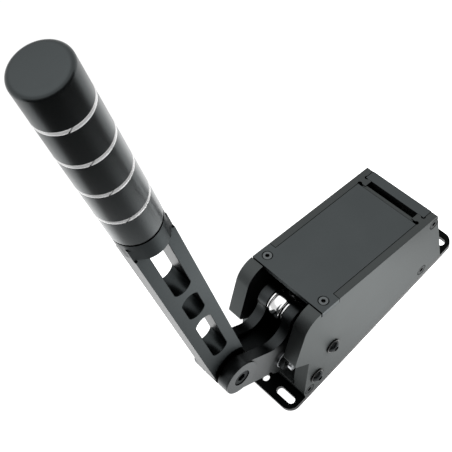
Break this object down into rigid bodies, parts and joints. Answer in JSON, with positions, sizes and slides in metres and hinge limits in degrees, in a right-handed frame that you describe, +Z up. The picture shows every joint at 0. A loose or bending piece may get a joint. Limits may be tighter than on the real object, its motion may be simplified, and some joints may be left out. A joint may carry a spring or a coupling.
{
  "type": "sim racing handbrake",
  "caption": "Load cell handbrake for a racing simulator: wedge-shaped black metal box on a slotted base plate, forked crank and upright lever with a ringed round grip.",
  "frame": {"origin": "middle of the base plate's hole and slot pattern, on the plate's underside", "axes": "+X forward from the box to the lever, the way the lever is pulled; +Y to the side seen in the picture's lower right; +Z up, square to the base plate"},
  "size_m": [0.2237, 0.0782, 0.4217],
  "materials": {
    "base_black": "black anodised, fine blasted, semi-matt",
    "plate_black": "black anodised, fine blasted, semi-matt",
    "cover_black": "black anodised, fine blasted, semi-matt",
    "crank_black": "black anodised, satin",
    "lever_black": "black anodised, satin",
    "grip_black": "black anodised, soft satin",
    "ring_silver": "bright turned",
    "chrome": "polished",
    "steel": "turned, zinc plated",
    "cell_steel": "ground",
    "screw_black": "black oxide",
    "screw_grey": "dark grey, satin",
    "washer_black": "black, matt",
    "rubber_black": "matt",
    "elastomer_red": "cast, matt",
    "bearing_bronze": "sintered bronze",
    "board_green": "solder mask over glass fibre",
    "pillar_brass": "turned",
    "plug_white": "moulded",
    "lead_black": "soft jacket"
  },
  "bodies": {
    "box": {"base_plate": "base_black", "left_side_plate": "plate_black", "right_side_plate": "plate_black", "top_cover": "cover_black", "rear_cover": "cover_black", "cover_rest_bar": "plate_black", "front_cross_bar": "plate_black", "rear_cross_bar": "plate_black", "bulkhead": "plate_black", "pivot_shaft": "steel", "pivot_spacers": "steel", "button_bolts": "screw_black", "bolt_washers": "washer_black", "stop_bar": "steel", "stop_sleeves": "rubber_black", "load_cell": "cell_steel", "cell_screws": "screw_black", "cell_washer": "steel", "elastomer_pads": "elastomer_red", "side_screws": "screw_black", "cover_screws": "screw_grey", "base_screws": "screw_black", "circuit_board": "board_green", "board_pillars": "pillar_brass", "board_screws": "steel", "board_plug": "plug_white", "cable_socket": "cell_steel", "cell_lead": "lead_black"},
    "lever_arm": {"crank": "crank_black", "pivot_bearings": "bearing_bronze", "lug_bolt": "steel", "lug_nut": "screw_black", "lug_washers": "steel", "rod_end_bolt": "screw_black", "rod_end_ball": "chrome", "rod_end_spools": "chrome", "lever": "lever_black", "lever_bolt": "screw_black", "lever_nut": "screw_black", "clamp_discs": "crank_black", "grip_washer": "rubber_black", "grip_stud": "steel", "grip": "grip_black", "grip_rings": "ring_silver"},
    "rod": {"rod_end": "chrome", "pull_rod": "steel", "rod_lock_nut": "steel", "rod_collar": "steel", "end_washer": "steel", "end_nut": "steel"},
    "front_washer": {"front_pad_washer": "steel"},
    "rear_washer": {"rear_pad_washer": "steel"}
  },
  "joints": [
    {"name": "lever_pivot", "type": "hinge", "parent": "box", "child": "lever_arm", "pos_m": [0.0425, 0, 0.0414], "axis": [0, 1, 0], "range_deg": [0, 8], "stiffness_Nm_per_rad": 250, "springref_deg": -1.15, "deforming": ["elastomer_pads"]},
    {"name": "rod_pivot", "type": "hinge", "parent": "lever_arm", "child": "rod", "pos_m": [0.051, 0, 0.0795], "axis": [0, 1, 0], "range_deg": [-4.83, 0]},
    {"name": "front_washer_slide", "type": "slide", "parent": "rod", "child": "front_washer", "axis": [-0.9681, 0, -0.2504], "range_m": [0, 0.00317]},
    {"name": "rear_washer_slide", "type": "slide", "parent": "rod", "child": "rear_washer", "axis": [-0.9681, 0, -0.2504], "range_m": [0, 0.00159]}
  ],
  "couplings": [
    {"joint": "rod_pivot", "follows": "lever_pivot", "ratio": -0.603},
    {"joint": "front_washer_slide", "follows": "lever_pivot", "m_per_rad": 0.02264},
    {"joint": "rear_washer_slide", "follows": "lever_pivot", "m_per_rad": 0.01132}
  ]
}
